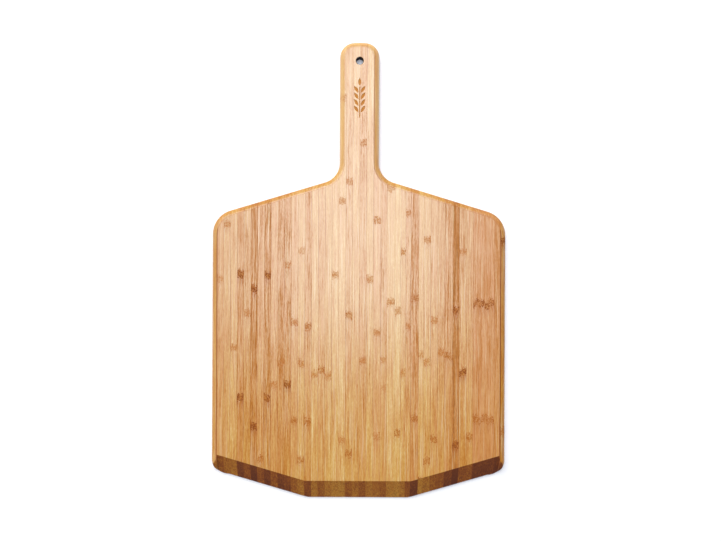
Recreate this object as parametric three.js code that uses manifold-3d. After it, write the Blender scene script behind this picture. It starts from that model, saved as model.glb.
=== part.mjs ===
// A pizza peel for an outdoor oven: one flat board of upright bamboo strips, glued edge to edge.
// The middle strips run on to make the handle. Each strip is its own solid. The front edge is cut to
// a bevel between the two edge strips, whose tops are rounded down towards the front corners.
// Millimetres. +Y points along the handle, +X to the right and +Z up from the resting face at z = 0.
import * as THREE from 'three';
import { mergeVertices } from 'three/addons/utils/BufferGeometryUtils.js';
import Module from 'manifold-3d';

const wasm = await Module();
wasm.setup();

// ---- Driving dimensions ----

const LENGTH = 475; // from the front edge to the end of the handle
const BLADE_WIDTH = 305;
const HANDLE_WIDTH = 41;
const THICKNESS = 12;

const HALF_LENGTH = LENGTH / 2;
const HALF_BLADE = BLADE_WIDTH / 2;
const HALF_HANDLE = HANDLE_WIDTH / 2;

const END_SLOPE = THREE.MathUtils.degToRad(4); // the handle end falls away to both sides at this angle
const END_CROWN_RADIUS = 60; // joins the two slopes
const END_CORNER_RADIUS = 15.5;

const NECK_Y = 96.5; // where the handle's side would meet the shoulder if the corner were sharp
const NECK_FILLET = 21;
const SHOULDER_Y = 56.5; // where the shoulder would meet the blade's side
const SHOULDER_RADIUS = 26;

const FRONT_CORNER_Y = -213.3; // the foremost line of each front corner
const FRONT_CORNER_RADIUS = 17;
const KINK_X = 135.2; // where the front corner meets the raked front edge
const KINK_RADIUS = 1;
const TIP_X = 52.3; // half the width of the straight front edge
const TIP_RADIUS = 3;

const UNDERSIDE_ROUND = 1.5; // small round along every lower edge
const TOP_ROUND_WIDTH = 5.5; // large round along the handle, shoulders, sides and front corners
const TOP_ROUND_HEIGHT = 5;
const QUIRK = 0.5; // small upright step between the large round and the flat top

const BEVEL_WIDTH = 19.5; // the slope that slides under the dough, along the straight front edge
const RAKED_BEVEL_WIDTH = 18; // the same slope along the raked edges at both sides
const NOSE_HEIGHT = 2; // thickness left at the leading edge
const EDGE_STRIP_ROUND_Y = -192; // from here forwards an edge strip's top curves down to the corner
const EDGE_STRIP_ROUND_RADIUS = 21.5;

const HANG_HOLE_Y = 217.6;
const HANG_HOLE_RADIUS = 4;

// Strip widths from left to right. They add up to the blade's width.
const EDGE_WIDTH = 6;
const LEFT_WIDTHS = [6.6, ...Array(17).fill(7)];
const HANDLE_WIDTHS = [...Array(5).fill(7.2), 7.6];
const RIGHT_WIDTHS = [6.4, 8.2, 6.2, 5.2, 5.2, 8.3, 5.2, 7.2, 7.3, 7.3, 8.2, 6.8, 7.7, 6.7];
const WIDE_STRIP_WIDTH = 22;
const OUTER_RIGHT_WIDTH = 5.9;

// ---- Outline ----

// The crown's arc just touches the object's full length, so its sharp corner stands a little above.
const CROWN_Y = HALF_LENGTH + END_CROWN_RADIUS * (1 / Math.cos(END_SLOPE) - 1);

// The sharp corners of the right half, from the handle end round to the front, each with its radius
// and the number of straight steps that its arc takes.
const HALF_CORNERS = [
  { x: HALF_HANDLE, y: CROWN_Y - HALF_HANDLE * Math.tan(END_SLOPE), radius: END_CORNER_RADIUS, steps: 7 },
  { x: HALF_HANDLE, y: NECK_Y, radius: NECK_FILLET, steps: 6 },
  { x: HALF_BLADE, y: SHOULDER_Y, radius: SHOULDER_RADIUS, steps: 6 },
  { x: HALF_BLADE, y: FRONT_CORNER_Y, radius: FRONT_CORNER_RADIUS, steps: 8 },
  { x: KINK_X, y: FRONT_CORNER_Y, radius: KINK_RADIUS, steps: 1 },
  { x: TIP_X, y: -HALF_LENGTH, radius: TIP_RADIUS, steps: 2 },
];

// The whole outline's sharp corners, counter-clockwise seen from above.
function sharpCorners() {
  const crown = { x: 0, y: CROWN_Y, radius: END_CROWN_RADIUS, steps: 4 };
  const left = HALF_CORNERS.map((corner) => ({ ...corner, x: -corner.x }));
  return [crown, ...left, ...HALF_CORNERS.toReversed()];
}

// One corner moved in by `inset` and rounded, as points along its arc. A bend towards the inside of
// the board grows its radius as the outline moves in, and a corner pointing outwards shrinks it.
function roundedCorner(before, corner, after, inset) {
  const here = new THREE.Vector2(corner.x, corner.y);
  const along = here.clone().sub(before).normalize();
  const onward = new THREE.Vector2(after.x, after.y).sub(here).normalize();
  const turn = Math.atan2(along.cross(onward), along.dot(onward));
  const side = Math.sign(turn);
  const radius = Math.max(corner.radius - side * inset, 0.3);
  const inwards = new THREE.Vector2(-along.y - onward.y, along.x + onward.x).normalize();
  const centre = here.addScaledVector(inwards, (inset + side * radius) / Math.cos(turn / 2));
  const first = Math.atan2(-side * along.x, side * along.y);
  const points = [];
  for (let i = 0; i <= corner.steps; i += 1) {
    const angle = first + turn * (i / corner.steps);
    points.push(new THREE.Vector2(Math.cos(angle), Math.sin(angle)).multiplyScalar(radius).add(centre));
  }
  return points;
}

// The whole outline moved in by `inset`. Every call gives the same number of points.
function outline(inset) {
  const corners = sharpCorners();
  const count = corners.length;
  return corners.flatMap((corner, i) => {
    const before = corners[(i + count - 1) % count];
    return roundedCorner(before, corner, corners[(i + 1) % count], inset);
  });
}

// ---- Edge section ----

// Levels from the resting face up to the flat top, as [inset, z].
function edgeLevels() {
  const levels = [];
  const lowSteps = 2;
  for (let i = 0; i <= lowSteps; i += 1) {
    const angle = (Math.PI / 2) * (i / lowSteps);
    levels.push([UNDERSIDE_ROUND * (1 - Math.sin(angle)), UNDERSIDE_ROUND * (1 - Math.cos(angle))]);
  }
  const roundTop = THICKNESS - QUIRK;
  const roundFoot = roundTop - TOP_ROUND_HEIGHT;
  const highSteps = 4;
  for (let i = 0; i <= highSteps; i += 1) {
    const angle = (Math.PI / 2) * (i / highSteps);
    const inset = TOP_ROUND_WIDTH * (1 - Math.cos(angle));
    levels.push([inset, roundFoot + TOP_ROUND_HEIGHT * Math.sin(angle)]);
  }
  levels.push([TOP_ROUND_WIDTH, THICKNESS]);
  return levels;
}

// ---- Solids ----

function toSolid(geometry) {
  const bare = geometry.clone();
  bare.deleteAttribute('normal');
  bare.deleteAttribute('uv');
  const merged = mergeVertices(bare);
  const mesh = new wasm.Mesh({
    numProp: 3,
    vertProperties: new Float32Array(merged.attributes.position.array),
    triVerts: new Uint32Array(merged.index.array),
  });
  return new wasm.Manifold(mesh);
}

function toGeometry(solid) {
  const { vertProperties, triVerts } = solid.getMesh();
  const geometry = new THREE.BufferGeometry();
  geometry.setAttribute('position', new THREE.BufferAttribute(vertProperties, 3));
  geometry.setIndex(new THREE.BufferAttribute(triVerts, 1));
  geometry.computeVertexNormals();
  return geometry;
}

// The board before the front bevel and the hanging hole: rings of the outline, joined level by level.
function boardGeometry() {
  const rings = edgeLevels().map(([inset, z]) => outline(inset).map((p) => [p.x, p.y, z]));
  const count = rings[0].length;
  const triangles = [];
  for (let level = 0; level < rings.length - 1; level += 1) {
    for (let i = 0; i < count; i += 1) {
      const next = (i + 1) % count;
      const low = level * count;
      const high = low + count;
      triangles.push(low + i, low + next, high + next);
      triangles.push(low + i, high + next, high + i);
    }
  }
  const topStart = (rings.length - 1) * count;
  const flat = (ring) => ring.map(([x, y]) => new THREE.Vector2(x, y));
  for (const [a, b, c] of THREE.ShapeUtils.triangulateShape(flat(rings[0]), [])) {
    triangles.push(a, c, b);
  }
  for (const [a, b, c] of THREE.ShapeUtils.triangulateShape(flat(rings.at(-1)), [])) {
    triangles.push(topStart + a, topStart + b, topStart + c);
  }
  const geometry = new THREE.BufferGeometry();
  geometry.setAttribute('position', new THREE.Float32BufferAttribute(rings.flat(2), 3));
  geometry.setIndex(triangles);
  return geometry;
}

// A block whose lower face is the bevel's plane, for the front line from `start` to `end`. The slope
// is the same everywhere, so a narrower bevel leaves the edge under it a little thicker.
function bevelCutter(start, end, width) {
  const overlap = 60;
  const length = start.distanceTo(end) + 2 * overlap;
  const drop = (THICKNESS - NOSE_HEIGHT) / BEVEL_WIDTH;
  const block = new THREE.BoxGeometry(length, 2 * overlap, overlap);
  block.translate(0, 0, overlap / 2);
  block.rotateX(Math.atan(drop));
  block.rotateZ(Math.atan2(end.y - start.y, end.x - start.x));
  block.translate((start.x + end.x) / 2, (start.y + end.y) / 2, THICKNESS - drop * width);
  return toSolid(block);
}

// Everything above the curve that rounds the edge strips down at the front, across the whole width.
function edgeStripRound() {
  const steps = 10;
  const reach = 60;
  const shape = new THREE.Shape();
  shape.moveTo(EDGE_STRIP_ROUND_Y, THICKNESS + reach);
  for (let i = 0; i <= steps; i += 1) {
    const angle = THREE.MathUtils.degToRad(75) * (i / steps);
    const y = EDGE_STRIP_ROUND_Y - EDGE_STRIP_ROUND_RADIUS * Math.sin(angle);
    shape.lineTo(y, THICKNESS - EDGE_STRIP_ROUND_RADIUS * (1 - Math.cos(angle)));
  }
  shape.lineTo(EDGE_STRIP_ROUND_Y - reach, -reach);
  shape.lineTo(EDGE_STRIP_ROUND_Y - reach, THICKNESS + reach);
  const cutter = new THREE.ExtrudeGeometry(shape, { depth: 2 * BLADE_WIDTH, bevelEnabled: false });
  cutter.translate(0, 0, -BLADE_WIDTH);
  const alongY = new THREE.Vector3(0, 1, 0);
  const alongZ = new THREE.Vector3(0, 0, 1);
  const alongX = new THREE.Vector3(1, 0, 0);
  cutter.applyMatrix4(new THREE.Matrix4().makeBasis(alongY, alongZ, alongX));
  return toSolid(cutter);
}

function hangingHole() {
  const drill = new THREE.CylinderGeometry(HANG_HOLE_RADIUS, HANG_HOLE_RADIUS, 3 * THICKNESS, 32);
  drill.rotateX(Math.PI / 2);
  drill.translate(0, HANG_HOLE_Y, 0);
  return toSolid(drill);
}

function bevelled(board) {
  const kinkLeft = new THREE.Vector2(-KINK_X, FRONT_CORNER_Y);
  const kinkRight = new THREE.Vector2(KINK_X, FRONT_CORNER_Y);
  const tipLeft = new THREE.Vector2(-TIP_X, -HALF_LENGTH);
  const tipRight = new THREE.Vector2(TIP_X, -HALF_LENGTH);
  return board
    .subtract(bevelCutter(kinkLeft, tipLeft, RAKED_BEVEL_WIDTH))
    .subtract(bevelCutter(tipLeft, tipRight, BEVEL_WIDTH))
    .subtract(bevelCutter(tipRight, kinkRight, RAKED_BEVEL_WIDTH));
}

// ---- Strips ----

const BAMBOO_TONES = [0xe6c08c, 0xdcb27a, 0xe9c99b, 0xd8a86c, 0xe2b98a];

// The piece of a board between x = left and x = left + width, with its origin on its own middle line.
function strip(board, name, left, width, toneIndex) {
  const middle = left + width / 2;
  const slab = new THREE.BoxGeometry(width, 2 * LENGTH, 4 * THICKNESS);
  slab.translate(middle, 0, 0);
  const geometry = toGeometry(board.intersect(toSolid(slab)));
  geometry.translate(-middle, 0, 0);
  const material = new THREE.MeshStandardMaterial({
    color: BAMBOO_TONES[toneIndex % BAMBOO_TONES.length],
    roughness: 0.55,
    metalness: 0,
  });
  const mesh = new THREE.Mesh(geometry, material);
  mesh.name = name;
  mesh.position.x = middle;
  return mesh;
}

// The strips' names and widths, in three runs: left of the handle, through the handle and right of it.
function stripRuns() {
  const numbered = (stem, widths, digits) =>
    widths.map((width, i) => ({ name: `${stem}_${String(i + 1).padStart(digits, '0')}`, width }));
  const left = [
    { name: 'left_edge_strip', width: EDGE_WIDTH },
    ...numbered('left_strip', LEFT_WIDTHS, 2),
  ];
  const right = [
    ...numbered('right_strip', RIGHT_WIDTHS, 2),
    { name: 'wide_strip', width: WIDE_STRIP_WIDTH },
    { name: 'outer_right_strip', width: OUTER_RIGHT_WIDTH },
    { name: 'right_edge_strip', width: EDGE_WIDTH },
  ];
  return [left, numbered('handle_strip', HANDLE_WIDTHS, 1), right];
}

function buildPeel() {
  const plainBoard = toSolid(boardGeometry()).subtract(hangingHole());
  const bevelledBoard = bevelled(plainBoard);
  const roundedBoard = plainBoard.subtract(edgeStripRound());
  const peel = new THREE.Group();
  let left = -HALF_BLADE;
  let toneIndex = 0;
  for (const run of stripRuns()) {
    const group = new THREE.Group();
    for (const { name, width } of run) {
      const board = name.endsWith('edge_strip') ? roundedBoard : bevelledBoard;
      group.add(strip(board, name, left, width, toneIndex));
      left = Math.round((left + width) * 10) / 10; // both neighbours share exactly this plane
      toneIndex += 1;
    }
    peel.add(group);
  }
  return peel;
}

export default buildPeel();
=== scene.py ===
# A bamboo pizza peel: upright strips glued edge to edge, seen from straight above on a white sweep.
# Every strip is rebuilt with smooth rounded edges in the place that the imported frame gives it.
# Metres. +Y points along the handle, +X to the right and +Z up from the resting face at z = 0.
import math

import bmesh
import bpy
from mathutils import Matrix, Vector


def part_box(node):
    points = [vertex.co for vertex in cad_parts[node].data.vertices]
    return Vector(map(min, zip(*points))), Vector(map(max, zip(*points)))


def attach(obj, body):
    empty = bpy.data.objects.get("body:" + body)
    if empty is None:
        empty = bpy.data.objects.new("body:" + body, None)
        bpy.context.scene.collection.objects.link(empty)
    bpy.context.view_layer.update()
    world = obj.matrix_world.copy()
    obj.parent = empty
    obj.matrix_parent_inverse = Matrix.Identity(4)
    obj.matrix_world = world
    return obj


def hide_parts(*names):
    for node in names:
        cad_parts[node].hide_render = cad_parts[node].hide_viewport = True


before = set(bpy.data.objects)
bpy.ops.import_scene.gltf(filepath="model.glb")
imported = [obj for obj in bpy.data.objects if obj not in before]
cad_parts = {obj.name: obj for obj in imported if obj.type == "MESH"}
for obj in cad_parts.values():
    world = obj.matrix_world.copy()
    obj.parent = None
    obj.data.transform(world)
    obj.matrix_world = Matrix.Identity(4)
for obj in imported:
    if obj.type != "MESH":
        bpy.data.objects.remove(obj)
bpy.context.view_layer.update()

MM = 0.001

# ---- Driving dimensions, from the frame where it holds them ----

HALF_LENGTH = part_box("handle_strip_3")[1].y
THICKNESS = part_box("handle_strip_3")[1].z
HALF_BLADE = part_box("right_edge_strip")[1].x
HALF_HANDLE = 20.5 * MM

END_SLOPE = math.radians(4)
END_CROWN_RADIUS = 60 * MM
END_CORNER_RADIUS = 15.5 * MM
NECK_Y = 96.5 * MM
NECK_FILLET = 21 * MM
SHOULDER_Y = 56.5 * MM
SHOULDER_RADIUS = 26 * MM
FRONT_CORNER_Y = -213.3 * MM
FRONT_CORNER_RADIUS = 17 * MM
KINK_X = 135.2 * MM
KINK_RADIUS = 1 * MM
TIP_X = 52.3 * MM
TIP_RADIUS = 3 * MM
LEAST_RADIUS = 0.3 * MM  # what is left of a corner's radius when the outline is moved in

UNDERSIDE_ROUND = 1.5 * MM
TOP_ROUND_WIDTH = 5.5 * MM
TOP_ROUND_HEIGHT = 5 * MM
QUIRK = 0.5 * MM  # the small upright step between the large round and the flat top
QUIRK_ARRIS = 0.15 * MM

BEVEL_WIDTH = 19.5 * MM
RAKED_BEVEL_WIDTH = 18 * MM
NOSE_HEIGHT = 2 * MM
BEVEL_ARRIS_RADIUS = 1.6 * MM
NOSE_SOFTENING = 0.4 * MM
EDGE_STRIP_ROUND_Y = -192 * MM
EDGE_STRIP_ROUND_RADIUS = 21.5 * MM
JOINT_CHAMFER = 0.08 * MM  # sanding rounds both strips a hair where they meet

HANG_HOLE_Y = 217.6 * MM
HANG_HOLE_RADIUS = 4 * MM
HANG_HOLE_CHAMFER = 0.3 * MM
HANG_HOLE_FACETS = 64

ENGRAVING_DEPTH = 0.4 * MM
EAR_Y = 158.5 * MM
EAR_FOOT = 5.5 * MM
STALK_WIDTH = 1 * MM
GRAIN_LENGTH = 8.6 * MM
GRAIN_WIDTH = 3.1 * MM
GRAIN_SPACING = 6.8 * MM
GRAIN_OFFSET = 1.15 * MM
GRAIN_TILT = math.radians(33)
GRAIN_PAIRS = 4
TOP_GRAIN_GAP = 0.9 * MM
OVERCUT = 1 * MM  # how far a cutter sticks out of the wood

SHARP_EDGE = math.radians(32)

UP = Vector((0, 0, 1))


# ---- Outline ----


def sharp_corners():
    """The outline's sharp corners as (x, y, radius, steps), counter-clockwise seen from above."""
    crown_y = HALF_LENGTH + END_CROWN_RADIUS * (1 / math.cos(END_SLOPE) - 1)
    end_y = crown_y - HALF_HANDLE * math.tan(END_SLOPE)
    left = [
        (-HALF_HANDLE, end_y, END_CORNER_RADIUS, 20),
        (-HALF_HANDLE, NECK_Y, NECK_FILLET, 16),
        (-HALF_BLADE, SHOULDER_Y, SHOULDER_RADIUS, 18),
        (-HALF_BLADE, FRONT_CORNER_Y, FRONT_CORNER_RADIUS, 20),
        (-KINK_X, FRONT_CORNER_Y, KINK_RADIUS, 3),
        (-TIP_X, -HALF_LENGTH, TIP_RADIUS, 5),
    ]
    right = [(-x, y, radius, steps) for x, y, radius, steps in reversed(left)]
    return [(0, crown_y, END_CROWN_RADIUS, 7), *left, *right]


def rounded_corner(before, corner, after, inset):
    """One corner moved in by `inset` and rounded, as points along its arc."""
    here = Vector(corner[:2])
    radius, steps = corner[2:]
    along = (here - Vector(before[:2])).normalized()
    onward = (Vector(after[:2]) - here).normalized()
    turn = math.atan2(along.cross(onward), along.dot(onward))
    side = math.copysign(1, turn)
    moved_radius = max(radius - side * inset, LEAST_RADIUS)
    inwards = Vector((-along.y - onward.y, along.x + onward.x)).normalized()
    centre = here + inwards * ((inset + side * moved_radius) / math.cos(turn / 2))
    first = math.atan2(-side * along.x, side * along.y)
    angles = [first + turn * i / steps for i in range(steps + 1)]
    return [centre + moved_radius * Vector((math.cos(a), math.sin(a))) for a in angles]


def outline(inset):
    """The whole outline moved in by `inset`. Every call gives the same number of points."""
    corners = sharp_corners()
    count = len(corners)
    points = []
    for i, corner in enumerate(corners):
        points += rounded_corner(corners[i - 1], corner, corners[(i + 1) % count], inset)
    return points


def edge_levels():
    """(inset, height, quirk shade) from the resting face up to the flat top. The quirk's foot and wall
    carry painted shade.
    """
    levels = []
    low_steps = 5
    for i in range(low_steps + 1):
        angle = math.pi / 2 * i / low_steps
        inset = UNDERSIDE_ROUND * (1 - math.sin(angle))
        levels.append((inset, UNDERSIDE_ROUND * (1 - math.cos(angle)), 0))
    round_top = THICKNESS - QUIRK
    high_steps = 10
    for i in range(high_steps):
        angle = math.pi / 2 * i / high_steps
        inset = TOP_ROUND_WIDTH * (1 - math.cos(angle))
        height = round_top - TOP_ROUND_HEIGHT * (1 - math.sin(angle))
        levels.append((inset, height, 0))
    # The quirk's foot, its wall, its softened arris and the flat top beside it, each with its share of
    # painted shade.
    levels.append((TOP_ROUND_WIDTH - 0.35 * MM, round_top - 0.02 * MM, 0.9))
    levels.append((TOP_ROUND_WIDTH, round_top, 1))
    levels.append((TOP_ROUND_WIDTH, THICKNESS - QUIRK_ARRIS, 1))
    levels.append((TOP_ROUND_WIDTH + 0.3 * QUIRK_ARRIS, THICKNESS - 0.3 * QUIRK_ARRIS, 0.8))
    levels.append((TOP_ROUND_WIDTH + QUIRK_ARRIS, THICKNESS, 0.65))
    levels.append((TOP_ROUND_WIDTH + 5 * QUIRK_ARRIS, THICKNESS, 0))
    return levels


# ---- The board and its strips ----


def whole_board():
    """The board before the front bevel: rings of the outline, joined level by level."""
    board = bmesh.new()
    # Each vertex holds how much painted shade it gets in the quirk.
    quirk_shade = board.verts.layers.float.new("quirk_shade")
    rings = []
    for inset, height, quirk_shade_amount in edge_levels():
        ring = [board.verts.new((point.x, point.y, height)) for point in outline(inset)]
        for vertex in ring:
            vertex[quirk_shade] = quirk_shade_amount
        rings.append(ring)
    close_rings(board, rings)
    return board


def clip(board, point, outward):
    """Cuts away what lies beyond a plane and closes the cut."""
    everything = board.verts[:] + board.edges[:] + board.faces[:]
    cut = bmesh.ops.bisect_plane(
        board, geom=everything, plane_co=point, plane_no=outward, dist=1e-7, clear_outer=True
    )
    rim = [e for e in cut["geom_cut"] if isinstance(e, bmesh.types.BMEdge) and e.is_boundary]
    bmesh.ops.holes_fill(board, edges=rim, sides=0)


def clip_fillet(board, point, normal_a, normal_b, radius, facets):
    """Rounds the edge through `point` where two planes meet."""
    centre = point - (normal_a + normal_b) * (radius / (1 + normal_a.dot(normal_b)))
    for i in range(1, facets + 1):
        normal = normal_a.slerp(normal_b, i / (facets + 1))
        clip(board, centre + radius * normal, normal)


def front_lines():
    """The straight front edges as (start, end, width of the bevel), from left to right."""
    kink_left = Vector((-KINK_X, FRONT_CORNER_Y, THICKNESS))
    tip_left = Vector((-TIP_X, -HALF_LENGTH, THICKNESS))
    tip_right = Vector((TIP_X, -HALF_LENGTH, THICKNESS))
    kink_right = Vector((KINK_X, FRONT_CORNER_Y, THICKNESS))
    return [
        (kink_left, tip_left, RAKED_BEVEL_WIDTH),
        (tip_left, tip_right, BEVEL_WIDTH),
        (tip_right, kink_right, RAKED_BEVEL_WIDTH),
    ]


def is_nose_rim(edge):
    """True where the sloping front meets the upright wall under it."""
    if len(edge.link_faces) != 2:
        return False
    lower, upper = sorted((face.normal for face in edge.link_faces), key=lambda normal: normal.z)
    return abs(lower.z) < 0.1 and lower.y < -0.05 and upper.y < -0.3 and upper.z > 0.8


def clip_bevel(board):
    """Cuts the sloping front, softens its upper arris and rounds the leading edge."""
    slope = math.atan2(THICKNESS - NOSE_HEIGHT, BEVEL_WIDTH)
    for start, end, width in front_lines():
        forward = (end - start).cross(UP).normalized()
        sloping = forward * math.sin(slope) + UP * math.cos(slope)
        arris = start - forward * width
        clip(board, arris, sloping)
        clip_fillet(board, arris, UP, sloping, BEVEL_ARRIS_RADIUS, 3)
    bmesh.ops.recalc_face_normals(board, faces=board.faces)
    rim = [edge for edge in board.edges if is_nose_rim(edge)]
    bmesh.ops.bevel(
        board, geom=rim, offset=NOSE_SOFTENING, segments=3, profile=0.5, affect="EDGES",
        clamp_overlap=True,
    )


def round_front_end(strip):
    """Curves the top of an edge strip down towards its front corner, in facets 6 degrees apart."""
    centre = Vector((0, EDGE_STRIP_ROUND_Y, THICKNESS - EDGE_STRIP_ROUND_RADIUS))
    for degrees in range(3, 73, 6):
        angle = math.radians(degrees)
        normal = Vector((0, -math.sin(angle), math.cos(angle)))
        clip(strip, centre + EDGE_STRIP_ROUND_RADIUS * normal, normal)


def clip_joint(board, x, side):
    """Takes the sharp corner off the top and the underside where a strip meets its neighbour."""
    inner = x - side * JOINT_CHAMFER
    clip(board, Vector((inner, 0, THICKNESS)), Vector((side, 0, 1)).normalized())
    clip(board, Vector((inner, 0, 0)), Vector((side, 0, -1)).normalized())


def strip_solid(board, node):
    """The part of the board that the CAD node takes up, as a new bmesh."""
    low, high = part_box(node)
    strip = board.copy()
    if not node.startswith("left_edge"):
        clip(strip, low, Vector((-1, 0, 0)))
        clip_joint(strip, low.x, -1)
    if not node.startswith("right_edge"):
        clip(strip, high, Vector((1, 0, 0)))
        clip_joint(strip, high.x, 1)
    if node.endswith("edge_strip"):
        round_front_end(strip)
    else:
        clip_bevel(strip)
    bmesh.ops.recalc_face_normals(strip, faces=strip.faces)
    return strip


def strip_object(board, node):
    strip = strip_solid(board, node)
    for face in strip.faces:
        face.smooth = True
    return object_from(strip, node + "_bamboo")


# ---- The hanging hole and the engraved ear of wheat ----


def object_from(solid, name):
    mesh = bpy.data.meshes.new(name)
    solid.to_mesh(mesh)
    solid.free()
    made = bpy.data.objects.new(name, mesh)
    bpy.context.scene.collection.objects.link(made)
    return made


def close_rings(solid, rings):
    """Joins rings of equally many vertices into a closed solid."""
    for low, high in zip(rings, rings[1:]):
        for i in range(len(low)):
            solid.faces.new((low[i - 1], low[i], high[i], high[i - 1]))
    solid.faces.new(reversed(rings[0]))
    solid.faces.new(rings[-1])


def hole_cutter():
    """A drill with a countersink at both faces."""
    wide = HANG_HOLE_RADIUS + HANG_HOLE_CHAMFER + OVERCUT
    profile = [
        (wide, -OVERCUT),
        (HANG_HOLE_RADIUS, HANG_HOLE_CHAMFER),
        (HANG_HOLE_RADIUS, THICKNESS - HANG_HOLE_CHAMFER),
        (wide, THICKNESS + OVERCUT),
    ]
    solid = bmesh.new()
    rings = []
    for radius, height in profile:
        angles = [math.tau * i / HANG_HOLE_FACETS for i in range(HANG_HOLE_FACETS)]
        points = [(radius * math.cos(a), HANG_HOLE_Y + radius * math.sin(a), height) for a in angles]
        rings.append([solid.verts.new(point) for point in points])
    close_rings(solid, rings)
    return object_from(solid, "hole_cutter")


def add_prism(solid, points):
    """A flat-bottomed cut with the given outline, sunk into the top face."""
    heights = (THICKNESS - ENGRAVING_DEPTH, THICKNESS + OVERCUT)
    close_rings(solid, [[solid.verts.new((x, y, height)) for x, y in points] for height in heights])


def grain_outline(base, tilt):
    """A long pointed grain that starts at `base` and leans by `tilt` from +Y, counter-clockwise."""
    along = Vector((math.sin(tilt), math.cos(tilt)))
    across = Vector((along.y, -along.x))
    steps = 10
    sides = []
    for side, order in ((1, range(steps)), (-1, range(steps, 0, -1))):
        for i in order:
            bulge = side * GRAIN_WIDTH / 2 * math.sin(math.pi * i / steps)
            sides.append(Vector(base) + along * (GRAIN_LENGTH * i / steps) + across * bulge)
    return sides


def ear_cutter():
    """An ear of wheat: a straight stalk with pairs of grains and one more at the top."""
    solid = bmesh.new()
    half = STALK_WIDTH / 2
    top = EAR_Y + EAR_FOOT + (GRAIN_PAIRS - 0.1) * GRAIN_SPACING
    add_prism(solid, [(-half, EAR_Y), (half, EAR_Y), (half, top), (-half, top)])
    for pair in range(GRAIN_PAIRS):
        y = EAR_Y + EAR_FOOT + pair * GRAIN_SPACING
        for side in (-1, 1):
            add_prism(solid, grain_outline((side * GRAIN_OFFSET, y), side * GRAIN_TILT))
    add_prism(solid, grain_outline((0, top + TOP_GRAIN_GAP), 0))
    return object_from(solid, "ear_cutter")


def carve(piece, cutter):
    """Takes the cutter's shape out of the piece for good."""
    carving = piece.modifiers.new("carving", "BOOLEAN")
    carving.operation = "DIFFERENCE"
    carving.solver = "EXACT"
    carving.object = cutter
    carved = piece.evaluated_get(bpy.context.evaluated_depsgraph_get())
    piece.data = bpy.data.meshes.new_from_object(carved)
    piece.modifiers.remove(carving)


def carve_handle(pieces):
    for cutter in (hole_cutter(), ear_cutter()):
        for node in ("handle_strip_3", "handle_strip_4"):
            carve(pieces[node], cutter)
        bpy.data.objects.remove(cutter)


def finish_shading(piece):
    """Crisp edges stay crisp, and flat faces stay flat next to the rounds that run into them."""
    piece.data.set_sharp_from_angle(angle=SHARP_EDGE)
    normals = piece.modifiers.new("flat faces", "WEIGHTED_NORMAL")
    normals.keep_sharp = True
    normals.weight = 90


# ---- Shader graph helper ----


class Graph:
    """Shader nodes written as expressions: each call adds a node and gives back its output."""

    def __init__(self, name):
        self.material = bpy.data.materials.new(name)
        self.material.use_nodes = True
        self.tree = self.material.node_tree
        self.shader = self.tree.nodes["Principled BSDF"]

    def node(self, kind, inputs=(), **settings):
        made = self.tree.nodes.new(kind)
        for key, value in settings.items():
            setattr(made, key, value)
        for socket, value in dict(inputs).items():
            self.feed(made.inputs[socket], value)
        return made

    def feed(self, socket, value):
        if isinstance(value, bpy.types.NodeSocket):
            self.tree.links.new(value, socket)
        else:
            socket.default_value = value

    def math(self, operation, a, b=0.0, c=0.0, clamp=False):
        inputs = {0: a, 1: b, 2: c}
        return self.node("ShaderNodeMath", inputs, operation=operation, use_clamp=clamp).outputs[0]

    def add(self, a, b):
        return self.math("ADD", a, b)

    def subtract(self, a, b):
        return self.math("SUBTRACT", a, b)

    def multiply(self, a, b):
        return self.math("MULTIPLY", a, b)

    def maximum(self, a, b):
        return self.math("MAXIMUM", a, b)

    def fade(self, value, start, end, low=0.0, high=1.0):
        """`low` where value is at `start`, turning smoothly to `high` at `end`."""
        inputs = {"Value": value, "From Min": start, "From Max": end, "To Min": low, "To Max": high}
        return self.node("ShaderNodeMapRange", inputs, interpolation_type="SMOOTHSTEP").outputs[0]

    def colour(self, factor, a, b, blend="MIX"):
        made = self.node("ShaderNodeMix", data_type="RGBA", blend_type=blend)
        for socket, value in ((0, factor), (6, a), (7, b)):
            self.feed(made.inputs[socket], value)
        return made.outputs[2]

    def xyz(self, x, y, z):
        return self.node("ShaderNodeCombineXYZ", {0: x, 1: y, 2: z}).outputs[0]

    def split(self, vector):
        return self.node("ShaderNodeSeparateXYZ", {0: vector}).outputs

    def noise(self, vector, scale, detail=2.0, roughness=0.5):
        inputs = {"Vector": vector, "Scale": scale, "Detail": detail, "Roughness": roughness}
        return self.node("ShaderNodeTexNoise", inputs).outputs["Fac"]

    def piece_value(self, name):
        """A custom property of the piece that wears the material."""
        made = self.node("ShaderNodeAttribute", attribute_type="OBJECT", attribute_name=name)
        return made.outputs["Fac"]

    def piece_vector(self, name):
        made = self.node("ShaderNodeAttribute", attribute_type="OBJECT", attribute_name=name)
        return made.outputs["Vector"]

    def ramp(self, factor, stops):
        made = self.node("ShaderNodeValToRGB", {0: factor})
        elements = made.color_ramp.elements
        while len(elements) < len(stops):
            elements.new(0.5)
        for element, (position, value) in zip(elements, stops):
            element.position = position
            element.color = value
        return made.outputs["Color"]


def srgb(red, green, blue):
    """A colour given as 0 to 255 display values, as the linear colour that the shader takes."""

    def linear(value):
        share = value / 255
        return share / 12.92 if share <= 0.04045 else ((share + 0.055) / 1.055) ** 2.4

    return (linear(red), linear(green), linear(blue), 1)


# ---- Bamboo ----

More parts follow.
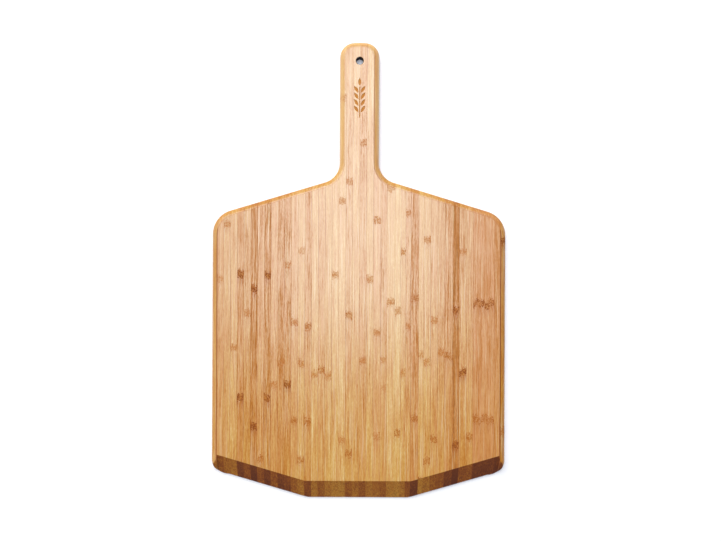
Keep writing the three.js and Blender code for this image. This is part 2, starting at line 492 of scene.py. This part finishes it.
BAMBOO_TONES = [
    (0.0, srgb(222, 198, 140)),
    (0.25, srgb(204, 161, 86)),
    (0.475, srgb(190, 134, 56)),
    (0.6, srgb(180, 118, 40)),
    (0.75, srgb(166, 101, 28)),
    (1.0, srgb(122, 66, 16)),
]
END_TONES = [
    (0.0, srgb(190, 134, 46)),
    (0.3, srgb(174, 110, 26)),
    (0.6, srgb(142, 73, 9)),
    (1.0, srgb(92, 38, 4)),
]
ROSY = srgb(202, 138, 86)
PALE = srgb(224, 202, 156)
# Pale colour painted on the handle's rounded edges as sheen.
SHEEN_CREAM = srgb(240, 196, 142)
BROWN = srgb(144, 70, 10)
UMBER = srgb(78, 30, 5)
BURNT = srgb(186, 118, 46)
LIGHT_KNOT = srgb(178, 103, 22)
DARK_KNOT = srgb(128, 62, 8)
# Near black painted on the hanging hole's wall as shade.
HOLE_WALL_SHADE = srgb(34, 16, 8)

# Painted shade in the quirk for each piece, darkest on the right edge strip, which faces away from the
# key light.
QUIRK_SHADE = {"left_edge_strip": 0.85, "right_edge_strip": 1.0, "handle_strip_6": 0.6}
QUIRK_SHADE_ELSEWHERE = 0.25

# How far a knot's band strays from its middle, in millimetres.
RIPPLE = 2.0
WIDE_STRIP_RIPPLE = 4.5

# Each strip has its own seed, and a unit of seed moves its grain by this many millimetres.
FIRST_SEED = 1.0
SEED_STEP = 0.37
SEED_ALONG = 211.7
SEED_ACROSS = 17.3
SEED_DEEP = 5.9

# The engraving's box in millimetres: its middle along Y, and its reach from there and from x = 0.
EAR_MIDDLE = EAR_Y / MM + 21
EAR_REACH = 23
EAR_SIDE_REACH = 7


def inside(g, value, middle, reach):
    """1 where value lies within `reach` of `middle`, else 0."""
    return g.math("COMPARE", value, middle, reach)


class Wood:
    """What the layers of the bamboo share, as sockets. Lengths are in millimetres."""

    def __init__(self, g, x, y, z, normal):
        self.x, self.y, self.z = x, y, z
        # How far the surface faces along the handle, out past its end, and how far upwards.
        _, self.facing, self.upwards = g.split(normal)
        self.seed = g.piece_value("seed")
        self.tone = g.piece_value("tone")
        self.shifted = g.add(y, g.multiply(self.seed, SEED_ALONG))
        dimple_place = g.xyz(g.multiply(x, 0.8), g.multiply(self.shifted, 0.6), z)
        self.dimple = g.noise(dimple_place, 1.0, 1.0, 0.5)
        self.band, self.tail, self.near = knot_masks(g, self)
        self.across, self.deep = fibre_course(g, self)
        self.streak = streaks(g, self, 1.4, 52.0)
        self.fibre = streaks(g, self, 0.8, 24.0)
        self.hair = streaks(g, self, 0.4, 13.0, 1.0)
        self.pores = g.fade(streaks(g, self, 0.5, 12.0, 1.0), 0.3, 0.2)
        self.grain = all_streaks(g, self)
        # 0 is bleached and 1 is scorched.
        self.darkness = g.add(g.add(0.26, g.multiply(self.tone, 0.5)), self.grain)


def knot_masks(g, wood):
    """The strip's culm knots as masks: curly band, stained tail and the stretch of bent fibres."""
    ripple_place = g.xyz(g.multiply(wood.x, 0.24), g.multiply(wood.shifted, 0.02), 0.0)
    ripple = g.noise(ripple_place, 1.0, 2.0, 0.6)
    wobble = g.multiply(g.fade(ripple, 0.2, 0.8, -1.0, 1.0), g.piece_value("ripple"))
    ragged = g.fade(wood.dimple, 0.3, 0.7, 1.6, -1.6)
    knots = g.split(g.piece_vector("knots"))
    depths = g.split(g.piece_vector("knot_depths"))
    band = tail = near = 0.0
    for centre, depth in zip(knots, depths):
        offset = g.subtract(g.subtract(wood.y, centre), wobble)
        distance = g.math("ABSOLUTE", offset)
        frayed = g.fade(g.add(distance, ragged), 2.2, 5.2, 1.0, 0.0)
        band = g.maximum(band, g.multiply(frayed, depth))
        below = g.multiply(g.fade(offset, -15.0, -2.0), g.fade(offset, 6.0, 1.0))
        tail = g.maximum(tail, g.multiply(below, g.multiply(depth, depth)))
        reach = g.fade(distance, 1.0, 14.0, 1.0, 0.0)
        near = g.maximum(near, g.multiply(reach, g.math("SIGN", depth)))
    return band, tail, near


def fibre_course(g, wood):
    """Coordinates that follow the fibres, which wander everywhere and swing aside at a knot."""
    swirl_place = g.xyz(g.multiply(wood.x, 0.35), g.multiply(wood.shifted, 0.16), 0.0)
    swirl = g.noise(swirl_place, 1.0, 2.0, 0.55)
    lean_place = g.xyz(g.multiply(wood.seed, 7.0), g.multiply(wood.shifted, 0.014), 0.0)
    lean = g.noise(lean_place, 1.0, 2.0, 0.5)
    swing = g.multiply(g.subtract(swirl, 0.5), g.add(0.9, g.multiply(wood.near, 3.0)))
    swing = g.add(swing, g.multiply(g.subtract(lean, 0.5), 3.0))
    across = g.add(g.add(wood.x, g.multiply(wood.seed, SEED_ACROSS)), swing)
    return across, g.add(wood.z, g.multiply(wood.seed, SEED_DEEP))


def streaks(g, wood, width, length, detail=2.0):
    """Noise drawn out along the fibres, in streaks about `width` across and `length` long."""
    place = g.xyz(
        g.multiply(wood.across, 1 / width),
        g.multiply(wood.shifted, 1 / length),
        g.multiply(wood.deep, 1 / width),
    )
    return g.noise(place, 1.0, detail, 0.6)


def all_streaks(g, wood):
    """Streaks of every size in one sum around 0, painted stronger towards the front and fainter towards
    the handle, where the brightest light flattens them.
    """
    patch_place = g.xyz(g.multiply(wood.seed, 3.0), g.multiply(wood.shifted, 0.02), 0.0)
    layers = [
        (streaks(g, wood, 3.0, 160.0), 0.22),
        (wood.streak, 0.56),
        (wood.fibre, 0.62),
        (wood.hair, 0.36),
        (streaks(g, wood, 0.9, 3.6, 1.0), 0.34),
        (g.noise(patch_place, 1.0, 2.0, 0.5), 0.2),
    ]
    grain = 0.0
    for layer, depth in layers:
        grain = g.add(grain, g.multiply(g.subtract(layer, 0.5), depth))
    # Painted light: grain contrast fades towards the handle, where the light falls brightest.
    return g.multiply(grain, g.fade(wood.y, -160.0, 60.0, 1.22, 0.84))


def clear_wood(g, wood):
    """The colour away from knots, cut ends and joints, with pale, rosy and porous streaks."""
    surface = g.ramp(wood.darkness, BAMBOO_TONES)
    # Painted light: the colour is more saturated towards the front, where less sheen falls.
    painted_front_saturation = g.fade(wood.y, -170.0, 10.0, 1.05, 1.0)
    surface = g.node("ShaderNodeHueSaturation", {"Saturation": painted_front_saturation, "Color": surface}).outputs[0]
    pale = g.fade(streaks(g, wood, 1.2, 75.0), 0.52, 0.72, 0.0, 0.47)
    surface = g.colour(pale, surface, PALE)
    blush_place = g.xyz(g.multiply(wood.across, 0.6), g.multiply(wood.shifted, 0.018), 3.0)
    blush = g.fade(g.noise(blush_place, 1.0, 2.0, 0.5), 0.45, 0.68, 0.0, 0.26)
    blush = g.add(blush, g.multiply(g.piece_value("rosiness"), 0.5))
    surface = g.colour(blush, surface, ROSY)
    return g.colour(g.multiply(wood.pores, 0.45), surface, BROWN)


def add_knots(g, wood, surface):
    """Bands of curled fibres, each with a stain that trails away below it."""
    curl_place = g.xyz(g.multiply(wood.x, 0.42), g.multiply(wood.shifted, 0.34), g.multiply(wood.z, 0.3))
    curl = g.noise(curl_place, 1.0, 2.0, 0.6)
    curls = g.fade(g.math("ABSOLUTE", g.subtract(curl, 0.5)), 0.02, 0.08, 1.0, 0.0)
    curls = g.maximum(curls, g.fade(wood.dimple, 0.55, 0.68))
    stain = g.multiply(wood.tail, g.fade(wood.streak, 0.62, 0.4, 0.2, 1.0))
    surface = g.colour(g.multiply(stain, 0.8), surface, BROWN)
    surface = g.colour(g.multiply(wood.band, 0.36), surface, LIGHT_KNOT)
    speckles = g.multiply(g.fade(wood.band, 0.0, 0.6), curls)
    knot_colour = g.colour(g.fade(wood.band, 0.3, 0.8), LIGHT_KNOT, DARK_KNOT)
    surface = g.colour(speckles, surface, knot_colour)
    rough = g.maximum(g.maximum(wood.band, speckles), g.multiply(stain, 0.5))
    return surface, speckles, rough


def add_end_grain(g, wood, surface):
    """Cut ends, where the fibres show as dots and the open grain drinks more oil."""
    share = g.add(g.fade(wood.facing, -0.12, -0.4), g.fade(wood.facing, 0.3, 0.9, 0.0, 0.2))
    soaked = g.ramp(g.add(g.add(0.03, g.multiply(wood.tone, 1.35)), wood.grain), END_TONES)
    dot_place = g.xyz(g.multiply(wood.across, 1.4), g.multiply(wood.shifted, 0.08), wood.deep)
    dots = g.noise(dot_place, 1.0, 2.0, 0.6)
    soaked = g.colour(g.fade(dots, 0.54, 0.36, 0.0, 0.5), soaked, UMBER)
    return g.colour(share, surface, soaked)


def add_painted_round_sheen(g, wood, surface):
    """The handle's rounded edges painted paler as sheen, most of all at its end."""
    rounded = g.multiply(g.fade(wood.upwards, 0.98, 0.88), g.fade(wood.upwards, 0.0, 0.7))
    sheen_reach = g.multiply(g.fade(wood.y, 90.0, 130.0), g.fade(wood.facing, 0.2, 0.8, 0.35, 0.5))
    return g.colour(g.multiply(rounded, sheen_reach), surface, SHEEN_CREAM)


def add_hole_shade_and_engraving(g, wood, surface):
    """The hole's wall painted near black as its shade, and the engraving, burnt darker on its steep
    sides than its floor.
    """
    from_hole = g.xyz(wood.x, g.subtract(wood.y, HANG_HOLE_Y / MM), 0.0)
    radius = g.node("ShaderNodeVectorMath", {0: from_hole}, operation="LENGTH").outputs["Value"]
    # The hole's wall is painted near black as shade.
    wall = g.fade(radius, HANG_HOLE_RADIUS / MM + 0.25, HANG_HOLE_RADIUS / MM + 0.05)
    surface = g.colour(wall, surface, HOLE_WALL_SHADE)
    burnt = g.multiply(inside(g, wood.x, 0, EAR_SIDE_REACH), inside(g, wood.y, EAR_MIDDLE, EAR_REACH))
    burnt = g.multiply(burnt, inside(g, wood.z, (THICKNESS - ENGRAVING_DEPTH) / MM, 0.35))
    steep = g.fade(wood.upwards, 0.8, 0.3)
    surface = g.colour(g.multiply(burnt, 0.85), surface, g.colour(steep, BURNT, UMBER))
    return surface, burnt


def add_glue_lines(g, wood, surface):
    """The line at each side of the strip, stronger at some joints than at others."""
    to_left = g.subtract(wood.x, g.piece_value("left_mm"))
    to_right = g.subtract(g.piece_value("right_mm"), wood.x)
    to_side = g.math("MINIMUM", to_left, to_right)
    joint = g.noise(g.xyz(g.multiply(wood.x, 0.8), g.multiply(wood.y, 0.011), 0.0), 1.0, 1.0, 0.5)
    glue = g.multiply(g.fade(to_side, 0.0, 0.35, 1.0, 0.0), g.fade(joint, 0.4, 0.66, 0.05, 0.7))
    return g.colour(glue, surface, BROWN), glue


def add_quirk_shade(g, surface):
    """Painted shade in the quirk, as dark as the mesh and the piece call for."""
    quirk_shade = g.node("ShaderNodeAttribute", attribute_name="quirk_shade").outputs["Fac"]
    quirk_shade = g.multiply(quirk_shade, g.piece_value("quirk_shade"))
    return g.colour(quirk_shade, surface, g.colour(g.fade(quirk_shade, 0.6, 1.0), BROWN, UMBER)), quirk_shade


def bamboo_layers(g, wood):
    """The oiled wood's colour, relief and dullness."""
    surface = clear_wood(g, wood)
    surface, speckles, rough = add_knots(g, wood, surface)
    surface = add_end_grain(g, wood, surface)
    surface = add_painted_round_sheen(g, wood, surface)
    surface, burnt = add_hole_shade_and_engraving(g, wood, surface)
    surface, glue = add_glue_lines(g, wood, surface)
    # Painted shade in the quirk.
    surface, quirk_shade = add_quirk_shade(g, surface)

    relief = g.add(g.multiply(wood.fibre, 0.6), g.multiply(wood.hair, 0.4))
    for mask, rise in ((wood.pores, -0.5), (glue, -0.6), (speckles, 0.7)):
        relief = g.add(relief, g.multiply(mask, rise))

    scorched = g.fade(wood.darkness, 0.35, 0.85, 0.0, 0.9)
    open_grain = g.fade(g.math("ABSOLUTE", wood.facing), 0.08, 0.4, 0.0, 0.8)
    dull = rough
    for mask in (scorched, burnt, quirk_shade, open_grain):
        dull = g.maximum(dull, mask)
    return surface, relief, dull


def bamboo():
    """Oiled bamboo: fibres along Y, knots where a piece's own properties place them."""
    g = Graph("oiled_bamboo")
    place = g.node("ShaderNodeTexCoord")
    millimetres = g.node("ShaderNodeVectorMath", {0: place.outputs["Object"]}, operation="SCALE")
    millimetres.inputs["Scale"].default_value = 1 / MM
    x, y, z = g.split(millimetres.outputs[0])
    surface, relief, dull = bamboo_layers(g, Wood(g, x, y, z, place.outputs["Normal"]))
    bump_inputs = {"Strength": 0.5, "Distance": 0.06 * MM, "Height": relief}
    bump = g.node("ShaderNodeBump", bump_inputs)
    g.feed(g.shader.inputs["Base Color"], surface)
    g.feed(g.shader.inputs["Roughness"], g.fade(dull, 0.0, 1.0, 0.37, 0.95))
    g.feed(g.shader.inputs["Coat Weight"], g.fade(dull, 0.0, 1.0, 0.85, 0.0))
    g.feed(g.shader.inputs["Normal"], bump.outputs[0])
    g.shader.inputs["Specular IOR Level"].default_value = 0.5
    g.shader.inputs["Coat Roughness"].default_value = 0.27
    g.shader.inputs["Coat IOR"].default_value = 1.5
    return g.material


# Each strip's tone (0 palest, 1 darkest), rosiness and knots as (y in millimetres, depth).
STRIP_LOOKS = {
    "left_edge_strip": (0.28, 0.45, []),
    "left_strip_01": (0.38, 0.45, [(-10, 0.35)]),
    "left_strip_02": (0.3, 0.2, [(48, 0.4)]),
    "left_strip_03": (0.2, 0.2, [(-80, 0.4)]),
    "left_strip_04": (0.6, 0.3, [(-4, 0.8), (-132, 0.8)]),
    "left_strip_05": (0.45, 0.0, [(-44, 0.4)]),
    "left_strip_06": (0.75, 0.2, [(-19, 0.8), (-161, 0.9)]),
    "left_strip_07": (0.45, 0.3, [(-196, 0.5)]),
    "left_strip_08": (0.65, 0.1, [(-5, 0.8), (-132, 0.8)]),
    "left_strip_09": (0.4, 0.3, [(-118, 0.4)]),
    "left_strip_10": (0.6, 0.2, [(-96, 0.4)]),
    "left_strip_11": (0.55, 0.1, [(5, 0.4), (-118, 0.8)]),
    "left_strip_12": (0.35, 0.3, [(-54, 0.4), (-156, 0.5)]),
    "left_strip_13": (0.2, 0.1, [(20, 0.3), (-96, 0.4), (-197, 0.5)]),
    "left_strip_14": (0.45, 0.2, [(-58, 0.5), (-157, 0.5)]),
    "left_strip_15": (0.15, 0.1, [(-108, 0.4)]),
    "left_strip_16": (0.35, 0.2, [(-102, 0.5)]),
    "left_strip_17": (0.2, 0.0, [(-109, 0.4)]),
    "left_strip_18": (0.1, 0.1, [(-5, 0.4)]),
    "handle_strip_1": (0.08, 0.2, [(179, 0.35), (73, 0.35), (-176, 0.4)]),
    "handle_strip_2": (0.35, 0.1, [(92, 0.35), (-46, 0.5), (-189, 0.5)]),
    "handle_strip_3": (0.2, 0.1, []),
    "handle_strip_4": (0.4, 0.2, [(132, 0.4), (-92, 0.4)]),
    "handle_strip_5": (0.2, 0.0, [(-9, 0.4)]),
    "handle_strip_6": (0.26, 0.35, [(52, 0.4), (-63, 0.4), (-172, 0.4)]),
    "right_strip_01": (0.35, 0.2, [(-92, 0.4), (-122, 0.3)]),
    "right_strip_02": (0.1, 0.1, [(86, 0.35), (-33, 0.4)]),
    "right_strip_03": (0.05, 0.0, [(-42, 0.4), (-169, 0.5)]),
    "right_strip_04": (0.2, 0.0, [(20, 0.4), (-106, 0.4)]),
    "right_strip_05": (0.4, 0.2, [(60, 0.4), (-58, 0.4)]),
    "right_strip_06": (0.65, 0.3, [(-28, 0.5), (-153, 0.5)]),
    "right_strip_07": (0.1, 0.1, [(-87, 0.4), (-217, 0.9)]),
    "right_strip_08": (0.2, 0.0, [(32, 0.4), (-95, 0.4), (-197, 0.5)]),
    "right_strip_09": (0.35, 0.2, [(-51, 0.4), (-174, 0.5)]),
    "right_strip_10": (0.4, 0.1, [(-84, 0.4)]),
    "right_strip_11": (0.6, 0.3, [(-89, 0.5)]),
    "right_strip_12": (0.94, 0.2, [(-40, 0.8), (-180, 0.9)]),
    "right_strip_13": (0.45, 0.1, [(20, 0.4), (-105, 0.8)]),
    "right_strip_14": (0.4, 0.2, [(-172, 0.5)]),
    "wide_strip": (0.64, 0.7, [(-33, 0.7), (-154, 0.5)]),
    "outer_right_strip": (0.7, 0.5, []),
    "right_edge_strip": (0.6, 0.1, [(31, 0.8), (-165, 0.5)]),
}


def dress(piece, node, material, seed):
    """Gives a strip its material and the properties that the material reads."""
    tone, rosiness, knots = STRIP_LOOKS[node]
    low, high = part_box(node)
    padded = (knots + [(0, 0)] * 3)[:3]
    piece["tone"] = tone
    piece["rosiness"] = rosiness
    piece["seed"] = seed
    piece["knots"] = [float(y) for y, depth in padded]
    piece["knot_depths"] = [float(depth) for y, depth in padded]
    # How strongly this piece's quirk is painted with shade.
    piece["quirk_shade"] = QUIRK_SHADE.get(node, QUIRK_SHADE_ELSEWHERE)
    piece["ripple"] = WIDE_STRIP_RIPPLE if node == "wide_strip" else RIPPLE
    piece["left_mm"] = low.x / MM
    piece["right_mm"] = high.x / MM
    piece.data.materials.append(material)


def add_strips():
    material = bamboo()
    board = whole_board()
    pieces = {node: strip_object(board, node) for node in STRIP_LOOKS}
    carve_handle(pieces)
    for number, (node, piece) in enumerate(pieces.items()):
        dress(piece, node, material, FIRST_SEED + SEED_STEP * number)
        finish_shading(piece)
        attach(piece, "root")
        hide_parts(node)
    board.free()


# ---- Camera, floor and lights ----

CAMERA_PLACE = (0.0017, 0.0002, 0.84)
CAMERA_ROLL = math.radians(0.26)
FOCAL_LENGTH = 39.9  # millimetres, as is the sensor's width
SENSOR_WIDTH = 36
FLOOR_REACH = 6
FLOOR_GAP = 0.1 * MM  # just enough that the floor and the underside don't share a plane


def add_camera():
    data = bpy.data.cameras.new("camera")
    data.sensor_width = SENSOR_WIDTH
    data.lens = FOCAL_LENGTH
    camera = bpy.data.objects.new("camera", data)
    camera.location = CAMERA_PLACE
    camera.rotation_euler = (0, 0, CAMERA_ROLL)
    bpy.context.scene.collection.objects.link(camera)
    bpy.context.scene.camera = camera


def add_floor():
    g = Graph("white_sweep")
    g.shader.inputs["Base Color"].default_value = (0.9, 0.9, 0.9, 1)
    g.shader.inputs["Roughness"].default_value = 0.9
    g.shader.inputs["Emission Color"].default_value = (0.85, 0.88, 1, 1)
    g.shader.inputs["Emission Strength"].default_value = 0.09
    mesh = bpy.data.meshes.new("floor")
    corners = [(x * FLOOR_REACH, y * FLOOR_REACH, 0) for x, y in ((-1, -1), (1, -1), (1, 1), (-1, 1))]
    mesh.from_pydata(corners, [], [(0, 1, 2, 3)])
    floor = bpy.data.objects.new("floor", mesh)
    floor.location.z = -FLOOR_GAP
    floor.data.materials.append(g.material)
    bpy.context.scene.collection.objects.link(floor)


def add_softbox(name, place, target, width, depth, radiance, colour):
    """A rectangular lamp that faces `target`. Its radiance is what a camera would see of it."""
    data = bpy.data.lights.new(name, "AREA")
    data.shape = "RECTANGLE"
    data.size = width
    data.size_y = depth
    data.energy = radiance * math.pi * width * depth
    data.color = colour
    lamp = bpy.data.objects.new(name, data)
    lamp.location = place
    aim = Vector(target) - Vector(place)
    lamp.rotation_euler = aim.to_track_quat("-Z", "Y").to_euler()
    bpy.context.scene.collection.objects.link(lamp)


def add_sun(name, towards, energy, angle, colour):
    """Light from the direction `towards`, spread over a disc `angle` degrees across."""
    data = bpy.data.lights.new(name, "SUN")
    data.energy = energy
    data.color = colour
    data.angle = math.radians(angle)
    lamp = bpy.data.objects.new(name, data)
    lamp.rotation_euler = (-Vector(towards)).to_track_quat("-Z", "Y").to_euler()
    bpy.context.scene.collection.objects.link(lamp)


def add_lights():
    add_sun("key", towards=(-0.3, 0.72, 0.62), energy=2.72, angle=70, colour=(1, 0.95, 0.86))
    add_softbox(
        "overhead", place=(-0.03, 0.38, 1.7), target=(-0.03, 0.38, 0),
        width=0.8, depth=1.24, radiance=7.0, colour=(0.83, 0.88, 1),
    )
    world = bpy.data.worlds.new("studio")
    world.use_nodes = True
    background = world.node_tree.nodes["Background"]
    background.inputs["Color"].default_value = (0.86, 0.92, 1.0, 1)
    background.inputs["Strength"].default_value = 0.15
    bpy.context.scene.world = world
    bpy.context.scene.view_settings.view_transform = "Standard"


add_camera()
add_strips()
add_floor()
add_lights()
